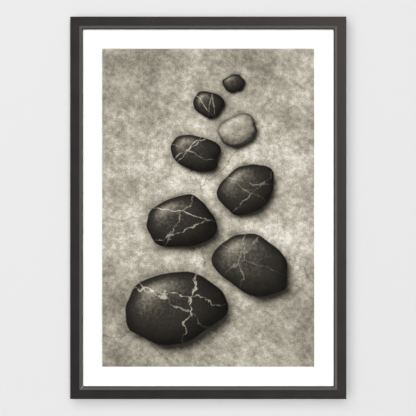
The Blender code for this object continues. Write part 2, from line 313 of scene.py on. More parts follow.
@cache
def settled_dust() -> bpy.types.NodeTree:
    """Fine dust that gathers on what faces up.

    Returns:
        The finished node group.
    """
    fx = Effect("settled dust", {"Vector": ORIGIN, "Facing": ORIGIN, "Amount": 0.5}, {"Mask": VALUE})
    up = fx.ramp(fx.parts(fx.given["Facing"])[2], 0.35, 0.95)
    drift = fx.ramp(fx.noise(fx.given["Vector"], 38.0, 4.0, 0.6), 0.3, 0.7, 0.45, 1.0)
    specks = fx.ramp(fx.noise(fx.given["Vector"], 2200.0, 1.0), 0.42, 0.72, 0.35, 1.0)
    return fx.give(Mask=fx.product(up, drift, specks, fx.given["Amount"]))


@cache
def paper_fibre() -> bpy.types.NodeTree:
    """The tooth and faint cloudiness of pressed fibre: mat board, printing paper and fibreboard.

    Returns:
        The finished node group.
    """
    fx = Effect("paper fibre", {"Vector": ORIGIN, "Fibre Size": 0.0004}, {"Tone": VALUE, "Height": VALUE})
    fineness = fx.math("DIVIDE", 1.0, fx.given["Fibre Size"])
    cloud = fx.noise(fx.given["Vector"], fx.product(fineness, 0.02), 3.0)
    tooth = fx.noise(fx.given["Vector"], fineness, 3.0, 0.65)
    tone = fx.total(fx.product(cloud, 0.5), fx.product(tooth, 0.5))
    return fx.give(Tone=tone, Height=tooth)


@cache
def rolled_metal() -> bpy.types.NodeTree:
    """Drawn or rolled metal: streaks that run along X, and soft patches in the plating.

    Returns:
        The finished node group.
    """
    fx = Effect("rolled metal", {"Vector": ORIGIN, "Streak Width": 0.0002}, {"Streak": VALUE, "Patch": VALUE})
    across = fx.math("DIVIDE", 1.0, fx.given["Streak Width"])
    along = fx.product(across, 0.06)
    stretch = fx.vector(along, across, across)
    streak = fx.noise(fx.vector_math("MULTIPLY", fx.given["Vector"], stretch), 1.0, 3.0, 0.6)
    patch = fx.noise(fx.given["Vector"], fx.product(across, 0.09), 3.0)
    return fx.give(Streak=streak, Patch=patch)


# The picture is drawn in metres from its own middle, x to the right and y up, lit from the upper left.
# A stone's outline would be an ellipse at a squareness of 2, and is fuller above it.
SQUARENESS = 2.35
SCREEN_GAMMA = 2.2
SUN_ON_PLAN = (-0.62, 0.78)
SUN = Vector((-0.52, 0.60, 0.61)).normalized()
GLINT = (SUN + Vector((0.0, 0.0, 1.0))).normalized()

# What the stones' groups have in common: each one's shape, and the skin that all of them share
STONE_SHAPE = {
    "Place": ORIGIN,
    "Middle": ORIGIN,
    "Half Length": 0.05,
    "Half Width": 0.04,
    "Turn": 0.0,
    "Draw": 0.0,
}
STONE_SKIN = {
    "Lean Right": 0.0,
    "Lean Up": 0.0,
    "Mottle": 1.0,
    "Speckle": 1.0,
    "Wander": 0.0,
    "Vein": 0.02,
}


@cache
def stone_reach() -> bpy.types.NodeTree:
    """How far out a point is in one river stone: 0 at its middle and 1 at its worn, uneven outline.

    Returns:
        The finished node group.
    """
    fx = Effect("stone reach", STONE_SHAPE, {"Reach": VALUE, "Along": VALUE, "Across": VALUE})
    offset = fx.vector_math("SUBTRACT", fx.given["Place"], fx.given["Middle"])
    back = fx.math("MULTIPLY", fx.given["Turn"], -1.0)
    own = fx.spun(offset, back)
    shares = fx.vector_math("DIVIDE", own, fx.vector(fx.given["Half Length"], fx.given["Half Width"], 1.0))
    flat = fx.vector_math("MULTIPLY", shares, (1.0, 1.0, 0.0))
    bearing = fx.vector_math("NORMALIZE", flat)
    draw = fx.vector(fx.product(fx.given["Draw"], 3.7), fx.given["Draw"])
    drawn = fx.vector_math("ADD", bearing, draw)
    wear = fx.noise(drawn, 0.85, 1.2, 0.35)
    x, y, _ = fx.parts(flat)
    powers = [fx.math("POWER", fx.math("ABSOLUTE", axis), SQUARENESS) for axis in (x, y)]
    reach = fx.math("POWER", fx.total(*powers), 1 / SQUARENESS)
    uneven = fx.ramp(wear, 0.15, 0.85, 1.16, 0.84)
    return fx.give(Reach=fx.product(reach, uneven), Along=x, Across=y)


@cache
def stone_skin() -> bpy.types.NodeTree:
    """What the skins of all the stones have in common: dents, mottling, speckle and how their veins run.

    Returns:
        The finished node group.
    """
    fx = Effect("stone skin", {"Place": ORIGIN}, dict.fromkeys(STONE_SKIN, VALUE))
    place = fx.given["Place"]
    dents = fx.parts(fx.drawn_noise(place, 210.0, 3.0, 0.55, 1))
    right, up = (fx.math("MULTIPLY_ADD", dent, 0.42, -0.21) for dent in dents[:2])
    return fx.give(
        Lean_Right=right,
        Lean_Up=up,
        Mottle=fx.ramp(fx.drawn_noise(place, 62.0, 4.0, 0.6), 0.25, 0.75, 0.55, 1.5),
        Speckle=fx.ramp(fx.drawn_noise(place, 1500.0, 2.0, 0.6), 0.3, 0.72, 0.65, 1.5),
        Wander=fx.math("SUBTRACT", fx.drawn_noise(place, 34.0, 4.0, 0.55), 0.5),
        Vein=fx.ramp(fx.drawn_noise(place, 90.0, 2.0, 0.5), 0.3, 0.7, 0.006, 0.05),
    )


@cache
def river_stone() -> bpy.types.NodeTree:
    """One smooth dark stone with pale quartz veins, and the shadow that it throws on what is below it.

    Returns:
        The finished node group.
    """
    inputs = {"Below": 0.4, **STONE_SKIN, **STONE_SHAPE, "Darkness": 0.03, "Quartz": 1.0}
    fx = Effect("river stone", inputs, {"Light": VALUE})
    given = fx.given
    shape = {name: given[name] for name in STONE_SHAPE if name != "Middle"}

    def reach_from(shift: float) -> bpy.types.Node:
        """The stone's reach as if it lay further from the light, by a share of its half width.

        Args:
            shift: That share.

        Returns:
            The reach group's node.
        """
        away = fx.vector(*(fx.product(given["Half Width"], -lead * shift) for lead in SUN_ON_PLAN))
        middle = fx.vector_math("ADD", given["Middle"], away)
        return fx.place(stone_reach(), Middle=middle, **shape)

    body = reach_from(0.0)
    reach = body.outputs["Reach"]
    shares = fx.vector(body.outputs["Along"], body.outputs["Across"])

    # Shadow: a dark core next to the stone, a soft edge further out, and the crease where it touches
    core = fx.ramp(reach_from(0.20).outputs["Reach"], 1.08, 0.86, 0.0, 0.74)
    edge = fx.ramp(reach_from(0.44).outputs["Reach"], 1.18, 0.70, 0.0, 0.66)
    crease = fx.ramp(reach, 1.30, 0.98, 0.0, 0.42)
    dimmed = given["Below"]
    for share in (core, edge, crease):
        dimmed = fx.product(dimmed, fx.math("SUBTRACT", 1.0, share))

    # Form: a low dome, flat on top, that turns down steeply at its rim
    held = fx.math("MINIMUM", reach, 1.0)
    dome = fx.math("SQRT", fx.math("SUBTRACT", 1.0, fx.math("POWER", held, 3.4)))
    lean = fx.spun(fx.scaled(shares, fx.math("POWER", held, 1.1)), given["Turn"])
    slope = fx.vector_math("ADD", lean, fx.vector(given["Lean Right"], given["Lean Up"]))
    tipped = fx.vector_math("ADD", slope, fx.vector(0.0, 0.0, fx.total(dome, 0.12)))
    normal = fx.vector_math("NORMALIZE", tipped)
    lit = fx.math("MAXIMUM", fx.vector_math("DOT_PRODUCT", normal, tuple(SUN), output="Value"), 0.0)
    shine = fx.math("MAXIMUM", fx.vector_math("DOT_PRODUCT", normal, tuple(GLINT), output="Value"), 0.0)

    # Skin: mottling, fine speckle and quartz veins, which run straight across and wander a little
    skin = fx.product(given["Darkness"], given["Mottle"], given["Speckle"])
    quartz: Feed = 0.0
    for lean_by, shift, strength in ((2.4, 0.30, 1.0), (4.3, -0.34, 0.75), (5.3, 0.05, 0.5)):
        angle = fx.math("MULTIPLY_ADD", given["Draw"], lean_by, lean_by)
        heading = fx.vector(fx.math("COSINE", angle), fx.math("SINE", angle))
        along = fx.vector_math("DOT_PRODUCT", shares, heading, output="Value")
        off_line = fx.math("ABSOLUTE", fx.total(along, fx.product(given["Wander"], 0.55), shift))
        vein = fx.product(fx.ramp(off_line, given["Vein"], 0.0), strength)
        quartz = fx.math("MAXIMUM", quartz, vein)
    veined = fx.mix(fx.product(quartz, given["Quartz"]), skin, 0.55)

    rim = fx.ramp(reach, 0.80, 1.0, 1.0, 0.35)
    matt = fx.product(veined, rim, fx.total(fx.product(lit, 1.25), fx.product(dome, 0.22)))
    polish = fx.product(fx.math("POWER", shine, 9.0), 0.10)
    wet = fx.product(fx.math("POWER", shine, 60.0), 0.22, given["Speckle"])
    light = fx.total(matt, polish, wet)
    cover = fx.ramp(reach, 1.012, 0.985)
    return fx.give(Light=fx.mix(cover, dimmed, light))


@cache
def plaster_ground() -> bpy.types.NodeTree:
    """The troweled plaster that the stones lie on: cloudy, pitted, with a few hair cracks.

    Returns:
        The finished node group.
    """
    fx = Effect("plaster ground", {"Place": ORIGIN}, {"Light": VALUE})
    place = fx.given["Place"]
    x, y, _ = fx.parts(place)
    clouds = fx.drawn_noise(place, 9.0, 5.0, 0.62)
    blots = fx.drawn_noise(fx.vector_math("ADD", place, (3.1, 1.7, 0.0)), 34.0, 3.0, 0.6)
    mottle = fx.drawn_noise(fx.vector_math("ADD", place, (0.0, 5.3, 0.0)), 130.0, 3.0, 0.6)
    swept = fx.vector_math("MULTIPLY", fx.spun(place, 0.6), (16.0, 120.0, 1.0))
    trowel = fx.drawn_noise(swept, 1.0, 4.0, 0.6)
    tooth = fx.drawn_noise(place, 480.0, 3.0, 0.65)
    pits = fx.ramp(fx.drawn_noise(place, 240.0, 3.0, 0.6), 0.66, 0.74, 1.0, 0.62)
    bend = fx.drawn_noise(place, 14.0, 6.0, 0.62, 1)
    crazed = fx.vector_math("ADD", place, fx.scaled(bend, 0.05))
    edges = {"feature": "DISTANCE_TO_EDGE", "voronoi_dimensions": "2D"}
    cells = fx.add("ShaderNodeTexVoronoi", edges, Vector=crazed, Scale=7.0).outputs[0]
    here = fx.ramp(fx.drawn_noise(fx.vector_math("ADD", place, (8.0, 0.0, 0.0)), 7.0, 1.0, 0.5), 0.50, 0.60)
    crack = fx.math("SUBTRACT", 1.0, fx.product(fx.ramp(cells, 0.012, 0.0), here, 0.5))
    spread = fx.total(fx.math("MULTIPLY", x, x), fx.product(y, y, 0.62))
    fall_off = fx.ramp(spread, 0.004, 0.052, 1.05, 0.66)
    side = fx.ramp(x, -0.16, 0.16, 0.90, 1.08)
    light = fx.product(
        0.60,
        fx.ramp(clouds, 0.30, 0.70, 0.70, 1.22),
        fx.ramp(blots, 0.28, 0.72, 0.72, 1.24),
        fx.ramp(mottle, 0.25, 0.75, 0.74, 1.22),
        fx.ramp(trowel, 0.25, 0.75, 0.90, 1.10),
        fx.ramp(tooth, 0.25, 0.75, 0.72, 1.26),
        pits,
        crack,
        fall_off,
        side,
    )
    return fx.give(Light=light)


@cache
def toned_ink() -> bpy.types.NodeTree:
    """Warm black ink on white paper: turns an amount of light in the picture into the print's colour.

    Returns:
        The finished node group.
    """
    fx = Effect("toned ink", {"Light": 0.4, "Place": ORIGIN}, {"Colour": COLOUR, "Density": VALUE})
    grain = fx.math("SUBTRACT", fx.drawn_noise(fx.given["Place"], 2600.0, 1.0, 0.5), 0.5)
    tone = fx.math("POWER", fx.math("MAXIMUM", fx.given["Light"], 0.0), 1 / SCREEN_GAMMA)
    grained = fx.math("MULTIPLY_ADD", grain, 0.07, tone)
    ramp = fx.add("ShaderNodeValToRGB", Fac=grained)
    stops = (
        (0.0, linear(12, 11, 9)),
        (0.25, linear(54, 51, 46)),
        (0.5, linear(130, 124, 111)),
        (0.75, linear(186, 179, 164)),
        (1.0, linear(237, 232, 221)),
    )
    elements = ramp.color_ramp.elements
    elements[0].position, elements[0].color = stops[0]
    elements[1].position, elements[1].color = stops[-1]
    for position, colour in stops[1:-1]:
        elements.new(position).color = colour
    return fx.give(Colour=ramp.outputs[0], Density=fx.math("SUBTRACT", 1.0, grained))


class Material(Graph):
    """A material that is being wired round its one Principled shader."""

    def __init__(self, name: str) -> None:
        """Makes the material and finds its shader. Its point is in metres, in the piece's own axes.

        Args:
            name: The material's name.
        """
        self.made = bpy.data.materials.new(name)
        self.made.use_nodes = True
        super().__init__(self.made.node_tree)
        self.shader = self.tree.nodes["Principled BSDF"]
        self.surface = self.tree.nodes["Material Output"].inputs["Surface"]
        self.point = self.add("ShaderNodeTexCoord").outputs["Object"]

    def dress(self, **feeds: Feed) -> bpy.types.Material:
        """Feeds the shader's inputs, with _ for a space in an input's name, and returns the material.

        Args:
            **feeds: What goes into each input.

        Returns:
            The material.
        """
        for name, source in feeds.items():
            self.feed(self.shader.inputs[name.replace("_", " ")], source)
        return self.made

    def clear_where(self, mask: Feed, tint: Colour) -> bpy.types.Material:
        """Lets light straight through where a mask is 1, and returns the material.

        Args:
            mask: The mask.
            tint: The colour that the light takes on.

        Returns:
            The material.
        """
        clear = self.add("ShaderNodeBsdfTransparent", Color=tint).outputs[0]
        choice = self.add("ShaderNodeMixShader", None, mask, self.shader.outputs[0], clear)
        self.feed(self.surface, choice.outputs[0])
        return self.made

    def facing(self) -> Socket:
        """The direction that the surface faces, in the room's axes."""
        return self.add("ShaderNodeNewGeometry").outputs["Normal"]

    def inward(self) -> Socket:
        """How far inward from a rail's outer side a place is, in metres."""
        return self.product(self.parts(self.point)[2], -1.0)

    def dust(self, amount: float) -> Socket:
        """The share of dust that has settled on each place, at most an amount from 0 to 1."""
        return self.place(settled_dust(), Vector=self.point, Facing=self.facing(), Amount=amount).outputs[0]


@dataclass(frozen=True)
class SatinLacquer:
    """Charcoal satin lacquer on the moulding; its slope is a tone lighter, painted light for the light that
    the bevel catches. The grain just shows through.
    """

    slope_from: float
    slope_blend: float = 0.0001
    colour: Colour = linear(33, 32, 32)
    grain_colour: Colour = linear(29, 28, 28)
    painted_light_slope_colour: Colour = linear(65, 64, 60)
    painted_light_slope_grain_colour: Colour = linear(58, 57, 53)
    dust_colour: Colour = linear(120, 117, 112)
    roughness: float = 0.31
    index: float = 1.58

    def material(self) -> bpy.types.Material:
        """Wires the material, in the moulding's own axes, with its length along X.

        Returns:
            The material.
        """
        mat = Material("satin_lacquer")
        grain = mat.place(timber_grain(), Vector=mat.point)
        dust = mat.dust(0.34)
        flow = mat.noise(mat.point, 900.0, 1.0)
        patchy = mat.noise(mat.point, 26.0, 3.0)
        edge, blend = self.slope_from, self.slope_blend
        painted_light_on_slope = mat.ramp(mat.inward(), edge - blend, edge + blend)
        # Painted light: the slope's lighter tone stands in for the light that the bevel catches.
        coat = mat.tint(painted_light_on_slope, self.colour, self.painted_light_slope_colour)
        in_grain = mat.tint(painted_light_on_slope, self.grain_colour, self.painted_light_slope_grain_colour)
        lacquer = mat.tint(mat.ramp(grain.outputs["Tone"], 0.30, 0.62), in_grain, coat)
        colour = mat.tint(dust, lacquer, self.dust_colour)
        satin = mat.ramp(patchy, 0.3, 0.7, self.roughness - 0.03, self.roughness + 0.04)
        rough = mat.mix(dust, satin, 0.9)
        normal = mat.bump(grain.outputs["Height"], 0.10, 0.00004, mat.bump(flow, 0.06, 0.00008))
        return mat.dress(Base_Color=colour, Roughness=rough, IOR=self.index, Normal=normal)


class Undercoat(Enum):
    """What lies under the satin coat, each with its colour and its colour where it is thin.

    The flat black shows on the sight edge's inner side, where the satin coat stops. The pale gesso shows
    only where the lower left mitre is chipped, and its pale colour is a painted glint on that mitre.
    """

    FLAT_BLACK = ("flat_primer", linear(40, 39, 37), linear(46, 44, 42))
    # Pale gesso, a painted glint: it shows only in the chip at the lower left mitre
    GESSO_PAINTED_GLINT = ("gesso_painted_glint", linear(226, 224, 218), linear(200, 196, 188))

    def material(self) -> bpy.types.Material:
        """Wires the coat, which nothing shines on.

        Returns:
            The material.
        """
        name, colour, thin_colour = self.value
        mat = Material(name)
        thin = mat.ramp(mat.noise(mat.point, 900.0, 3.0, 0.6), 0.4, 0.7)
        return mat.dress(
            Base_Color=mat.tint(thin, colour, thin_colour),
            Roughness=mat.ramp(thin, 0.0, 1.0, 0.9, 0.97),
            Specular_IOR_Level=0.0,
            Normal=mat.bump(mat.noise(mat.point, 1400.0, 2.0), 0.15, 0.00005),
        )


@dataclass(frozen=True)
class BareTimber:
    """The moulding's planed back and rabbet, pale and uncoated, with lacquer sprayed over its outer edge."""

    pale: Colour = linear(206, 178, 140)
    dark: Colour = linear(168, 134, 94)
    overspray: Colour = linear(54, 51, 49)
    roughness: float = 0.78

    def material(self) -> bpy.types.Material:
        """Wires the material, in the moulding's own axes: Z is 0 at its outer side and falls inward.

        Returns:
            The material.
        """
        mat = Material("bare_timber")
        grain = mat.place(timber_grain(), Vector=mat.point)
        knife = mat.noise(mat.vector_math("MULTIPLY", mat.point, (700.0, 1.0, 1.0)), 1.0, 0.0)
        timber = mat.tint(mat.ramp(grain.outputs["Tone"], 0.22, 0.68), self.dark, self.pale)
        ragged = mat.math("MULTIPLY_ADD", mat.noise(mat.point, 420.0, 4.0, 0.7), 0.004, mat.inward())
        sprayed = mat.ramp(ragged, 0.0042, 0.0026)
        height = mat.total(mat.product(grain.outputs["Height"], 0.7), mat.product(knife, 0.3))
        # Painted shade: what the wall takes back from it is painted in the overspray's dark colour, because
        # the wall doesn't shade it from the light behind
        painted_shade_to_wall = mat.add("ShaderNodeLightPath").outputs["Is Diffuse Ray"]
        return mat.dress(
            Base_Color=mat.tint(mat.math("MAXIMUM", sprayed, painted_shade_to_wall), timber, self.overspray),
            Roughness=mat.mix(sprayed, self.roughness, 0.55),
            Normal=mat.bump(height, 0.35, 0.00015),
        )


@dataclass(frozen=True)
class PictureGlass:
    """Low-reflection picture glass. Light passes it freely, so the sheet behind is lit as if it were bare."""

    tint: Colour = (0.994, 0.998, 0.996, 1.0)
    index: float = 1.28
    waviness: float = 0.01

    def material(self) -> bpy.types.Material:
        """Wires the glass, with a plain see-through stand-in for light on its way to the picture.

        Returns:
            The material.
        """
        mat = Material("picture_glass")
        waves = mat.noise(mat.point, 9.0, 1.0)
        mat.dress(
            Base_Color=self.tint,
            Roughness=0.0,
            IOR=self.index,
            Transmission_Weight=1.0,
            Normal=mat.bump(waves, self.waviness, 0.0004),
        )
        path = mat.add("ShaderNodeLightPath").outputs
        return mat.clear_where(mat.math("MAXIMUM", path["Is Shadow Ray"], path["Is Diffuse Ray"]), self.tint)


@dataclass(frozen=True)
class MatBoard:
    """White paper-faced mat board. Its cut edges and the window's bevel show the brighter core."""

    face: Colour = (0.925, 0.925, 0.92, 1.0)
    cloud: Colour = (0.90, 0.90, 0.892, 1.0)
    core: Colour = (0.95, 0.95, 0.947, 1.0)

    def material(self) -> bpy.types.Material:
        """Wires the board. What faces the front or the back squarely is paper, and the rest is core.

        Returns:
            The material.
        """
        mat = Material("white_board")
        fibre = mat.place(paper_fibre(), Vector=mat.point, Fibre_Size=0.0005)
        paper = mat.tint(mat.ramp(fibre.outputs["Tone"], 0.3, 0.7), self.cloud, self.face)
        square_on = mat.math("ABSOLUTE", mat.parts(mat.facing())[1])
        return mat.dress(
            Base_Color=mat.tint(mat.ramp(square_on, 0.80, 0.95), self.core, paper),
            Roughness=0.92,
            Normal=mat.bump(fibre.outputs["Height"], 0.18, 0.00006),
        )


@dataclass(frozen=True)
class Stone:
    """One river stone in the picture, in metres from the picture's middle."""

    middle: Point
    length: float
    width: float
    turn: float
    darkness: float
    quartz: float


@dataclass(frozen=True)
class TonedPrint:
    """A matt monochrome print: river stones in a winding line on pale troweled plaster."""

    stones: tuple[Stone, ...] = (
        Stone((0.040, 0.196), 0.034, 0.027, 14, 0.013, 0.0),
        Stone((0.001, 0.162), 0.047, 0.037, -22, 0.008, 0.9),
        Stone((0.047, 0.122), 0.061, 0.046, 24, 0.300, 0.2),
        Stone((-0.020, 0.087), 0.075, 0.057, -12, 0.009, 1.0),
        Stone((0.060, 0.030), 0.090, 0.070, 33, 0.017, 0.5),
        Stone((-0.044, -0.022), 0.106, 0.080, 9, 0.007, 1.0),
        Stone((0.070, -0.088), 0.118, 0.090, -27, 0.022, 0.35),
        Stone((-0.052, -0.158), 0.150, 0.110, 16, 0.008, 1.0),
    )
    printed_half_width: float = 0.170
    printed_half_height: float = 0.254
    paper: Colour = (0.80, 0.795, 0.775, 1.0)
    strength: float = 0.785

    def material(self, middle: float) -> bpy.types.Material:
        """Wires the print.

        Args:
            middle: The height of the picture's middle, in metres.

        Returns:
            The material, for a sheet that lies in the plane of X and Z.
        """
        mat = Material("printed_paper")
        x, _, z = mat.parts(mat.point)
        up = mat.math("SUBTRACT", z, middle)
        place = mat.vector(x, up)
        light = mat.place(plaster_ground(), Place=place).outputs[0]
        skin = mat.place(stone_skin(), Place=place).outputs
        for number, stone in enumerate(self.stones, start=1):
            light = mat.place(
                river_stone(),
                Below=light,
                Place=place,
                Middle=(*stone.middle, 0.0),
                Half_Length=stone.length / 2,
                Half_Width=stone.width / 2,
                Turn=math.radians(stone.turn),
                Draw=float(number),
                Darkness=stone.darkness,
                Quartz=stone.quartz,
                **{effect.name: effect for effect in skin},
            ).outputs[0]
        ink = mat.place(toned_ink(), Light=light, Place=place)
        within = mat.product(
            mat.math("LESS_THAN", mat.math("ABSOLUTE", x), self.printed_half_width),
            mat.math("LESS_THAN", mat.math("ABSOLUTE", up), self.printed_half_height),
            mat.math("LESS_THAN", mat.parts(mat.facing())[1], -0.5),
        )
        fibre = mat.place(paper_fibre(), Vector=mat.point, Fibre_Size=0.0003)
        dimmed = (*(self.strength,) * 3, 1.0)
        printed = mat.blend("RGBA", "MULTIPLY", 1.0, ink.outputs["Colour"], dimmed)
        inked = mat.product(within, ink.outputs["Density"])
        return mat.dress(
            Base_Color=mat.tint(within, self.paper, printed),
            Roughness=mat.ramp(inked, 0.0, 1.0, 0.78, 0.58),
            Specular_IOR_Level=0.04,
            Normal=mat.bump(fibre.outputs["Height"], 0.15, 0.00004),
        )


@dataclass(frozen=True)
class Hardboard:
    """Brown hardboard, rough side out: pressed fibre with the square print of the screen that it dried on."""

    fibre: Colour = linear(148, 108, 72)
    dark_fibre: Colour = linear(104, 71, 45)
    screen_pitch: float = 0.0018

    def material(self) -> bpy.types.Material:
        """Wires the board, which lies in the plane of X and Z.

        Returns:
            The material.
        """
        mat = Material("hardboard")
        fibre = mat.place(paper_fibre(), Vector=mat.point, Fibre_Size=0.0009)
        squeezed = mat.vector_math("MULTIPLY", mat.point, (1.0, 1.0, 0.4))
        flecks = mat.ramp(mat.noise(squeezed, 700.0, 3.0), 0.60, 0.72)
        x, _, z = mat.parts(mat.point)
        wires = [
            mat.math("COSINE", mat.math("MULTIPLY", axis, math.tau / self.screen_pitch)) for axis in (x, z)
        ]
        screen = mat.math("MULTIPLY_ADD", mat.math("MAXIMUM", *wires), 0.5, 0.5)
        tone = mat.total(fibre.outputs["Tone"], mat.product(screen, -0.10))
        board = mat.tint(mat.ramp(tone, -0.05, 0.85), self.dark_fibre, self.fibre)
        height = mat.total(mat.product(screen, -0.5), mat.product(fibre.outputs["Height"], 0.5))
        return mat.dress(
            Base_Color=mat.tint(mat.product(flecks, 0.5), board, self.dark_fibre),
            Roughness=mat.ramp(tone, 0.2, 0.8, 0.92, 0.74),
            Normal=mat.bump(height, 0.5, 0.0002),
        )


DUST_ON_METAL = linear(150, 146, 140)


class Metal(Enum):
    """The metals on the back, each with its bright colour, its dull colour, its roughness and its streaks."""

    SPRING_STEEL = ("blued_steel", linear(150, 152, 157), linear(104, 107, 116), 0.30, 0.00016)
    ZINC_PLATE = ("bright_zinc", linear(206, 207, 204), linear(168, 170, 172), 0.27, 0.00022)
    BRASSED_STEEL = ("brassed_tack", linear(214, 178, 104), linear(158, 122, 62), 0.22, 0.00010)

    def material(self) -> bpy.types.Material:
        """Wires the metal: rolled streaks, cloudy plating and a little dust on what faces up.

        Returns:
            The material.
        """
        name, bright, dull, roughness, streak_width = self.value
        mat = Material(name)
        rolled = mat.place(rolled_metal(), Vector=mat.point, Streak_Width=streak_width)
        dust = mat.dust(0.22)
        plate = mat.tint(mat.ramp(rolled.outputs["Patch"], 0.30, 0.68), dull, bright)
        colour = mat.tint(dust, plate, DUST_ON_METAL)
        worn = mat.ramp(rolled.outputs["Streak"], 0.25, 0.75, roughness - 0.06, roughness + 0.16)
        return mat.dress(
            Base_Color=colour,
            Metallic=1.0,
            Roughness=mat.total(worn, mat.product(dust, 0.4)),
            Normal=mat.bump(rolled.outputs["Streak"], 0.12, 0.00003),
        )


@dataclass(frozen=True)
class DarkRubber:
    """Matt moulded rubber with a fine skin and a little dust."""

    colour: Colour = linear(38, 38, 39)
    scuffed: Colour = linear(62, 61, 60)
    dust_colour: Colour = linear(128, 124, 118)

    def material(self) -> bpy.types.Material:
        """Wires the rubber.

        Returns:
            The material.
        """
        mat = Material("moulded_rubber")
        scuff = mat.ramp(mat.noise(mat.point, 500.0, 4.0, 0.6), 0.48, 0.72)
        dust = mat.dust(0.4)
        rubber = mat.tint(scuff, self.colour, self.scuffed)
        return mat.dress(
            Base_Color=mat.tint(dust, rubber, self.dust_colour),
            Roughness=mat.ramp(scuff, 0.0, 1.0, 0.62, 0.85),
            Normal=mat.bump(mat.noise(mat.point, 3200.0, 1.0), 0.12, 0.00008),
        )


def arc(
    centre: Point, radius: float, start: float, end: float, steps: int, rise: float = 0.0
) -> list[Point]:
    """Points on a circle, or on an ellipse where a second radius is given.

    Args:
        centre: The curve's middle.
        radius: Its radius.
        start: The first point's angle, in degrees.
        end: The last point's angle, in degrees.
        steps: How many straight steps the stretch is cut into.
        rise: Its radius in the second direction, or 0 if that is the same.

    Returns:
        The points in order, with both ends.
    """
    turns = (math.radians(start + (end - start) * step / steps) for step in range(steps + 1))
    rise = rise or radius
    return [(centre[0] + radius * math.cos(turn), centre[1] + rise * math.sin(turn)) for turn in turns]


def closed(bm: bmesh.types.BMesh, rings: Sequence[Sequence[bmesh.types.BMVert]]) -> tuple[Faces, Faces]:
    """Makes a closed skin over rings of equally many points.

    Args:
        bm: The mesh.
        rings: The rings, in order.

    Returns:
        The two end faces, and the faces between the rings.
    """
    caps = [bm.faces.new(rings[0]), bm.faces.new(rings[-1])]
    skins = []
    for ring, following in zip(rings, rings[1:]):
        for k in range(len(ring)):
            skins.append(bm.faces.new((ring[k - 1], ring[k], following[k], following[k - 1])))
    return caps, skins


def to_object(name: str, bm: bmesh.types.BMesh, smooth_under: float = 30.0) -> bpy.types.Object:
    """Turns a bmesh into an object, smooth where its faces meet at less than an angle in degrees.

    Args:
        name: The object's name.
        bm: The mesh, which is freed.
        smooth_under: The angle, in degrees.

    Returns:
        The object, in the scene.
    """
    bmesh.ops.recalc_face_normals(bm, faces=bm.faces)
    mesh = bpy.data.meshes.new(name)
    bm.to_mesh(mesh)
    bm.free()
    mesh.shade_smooth()
    mesh.set_sharp_from_angle(angle=math.radians(smooth_under))
    obj = bpy.data.objects.new(name, mesh)
    bpy.context.scene.collection.objects.link(obj)
    return obj


def turned(
    name: str, profile: Sequence[Point], steps: int, node: str, smooth_under: float = 30.0
) -> bpy.types.Object:
    """A piece turned about Y, standing in the middle of the solid that it takes the place of.

    Args:
        name: The piece's name.
        profile: Points as (radius, depth) that start and end on the axis.
        steps: How many sides it has.
        node: The solid's name.
        smooth_under: The angle under which its faces meet smoothly, in degrees.

    Returns:
        The piece, in the scene.
    """
    bm = bmesh.new()
    verts = [bm.verts.new((radius, depth, 0.0)) for radius, depth in profile]
    edges = [bm.edges.new(pair) for pair in zip(verts, verts[1:])]
    bmesh.ops.spin(bm, geom=verts + edges, cent=ORIGIN, axis=(0, 1, 0), angle=math.tau, steps=steps)
    bmesh.ops.remove_doubles(bm, verts=bm.verts, dist=TOUCHING)
    made = to_object(name, bm, smooth_under)
    middle = sum(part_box(node), Vector()) / 2
    made.matrix_world = Matrix.Translation((middle.x, 0.0, middle.z))
    return made


def settle(obj: bpy.types.Object) -> None:
    """Applies an object's modifiers, so that its mesh is what shows.

    Args:
        obj: The object.
    """
    bpy.context.view_layer.update()
    finished = bpy.data.meshes.new_from_object(obj.evaluated_get(bpy.context.evaluated_depsgraph_get()))
    obj.modifiers.clear()
    obj.data = finished


def soften(obj: bpy.types.Object, width: float, segments: int = 2) -> None:
    """Rounds an object's sharp edges by a width in metres.

    Args:
        obj: The object.
        width: How wide the rounding is, in metres.
        segments: How many steps it has.
    """
    bevel = obj.modifiers.new("eased edges", "BEVEL")
    bevel.width = width
    bevel.segments = segments
    bevel.limit_method = "ANGLE"
    bevel.angle_limit = math.radians(SHARP_OVER)
    bevel.use_clamp_overlap = True


def even_out(obj: bpy.types.Object) -> None:
    """Keeps broad faces flat where narrow ones curve away from them."""
    weighted = obj.modifiers.new("even faces", "WEIGHTED_NORMAL")
    weighted.keep_sharp = True


def show(obj: bpy.types.Object, node: str, finish: bpy.types.Material | None = None) -> None:
    """Hands a finished piece over: its finish, the body that carries it and the solid that it stands for.

    Args:
        obj: The piece, in place.
        node: The solid that it stands for.
        finish: Its material, unless it already has its own.
    """
    if finish:
        obj.data.materials.append(finish)
    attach(obj, BODY)
    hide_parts(node)
    log.info("%s: %d faces", obj.name, len(obj.data.polygons))


class Side(Enum):
    """The four rails, each turned about the picture's middle by so many degrees from the top one."""

    TOP = 0
    RIGHT = 90
    BOTTOM = 180
    LEFT = 270

    @property
    def label(self) -> str:
        """The side's name as it stands in the names of pieces."""
        return self.name.lower()


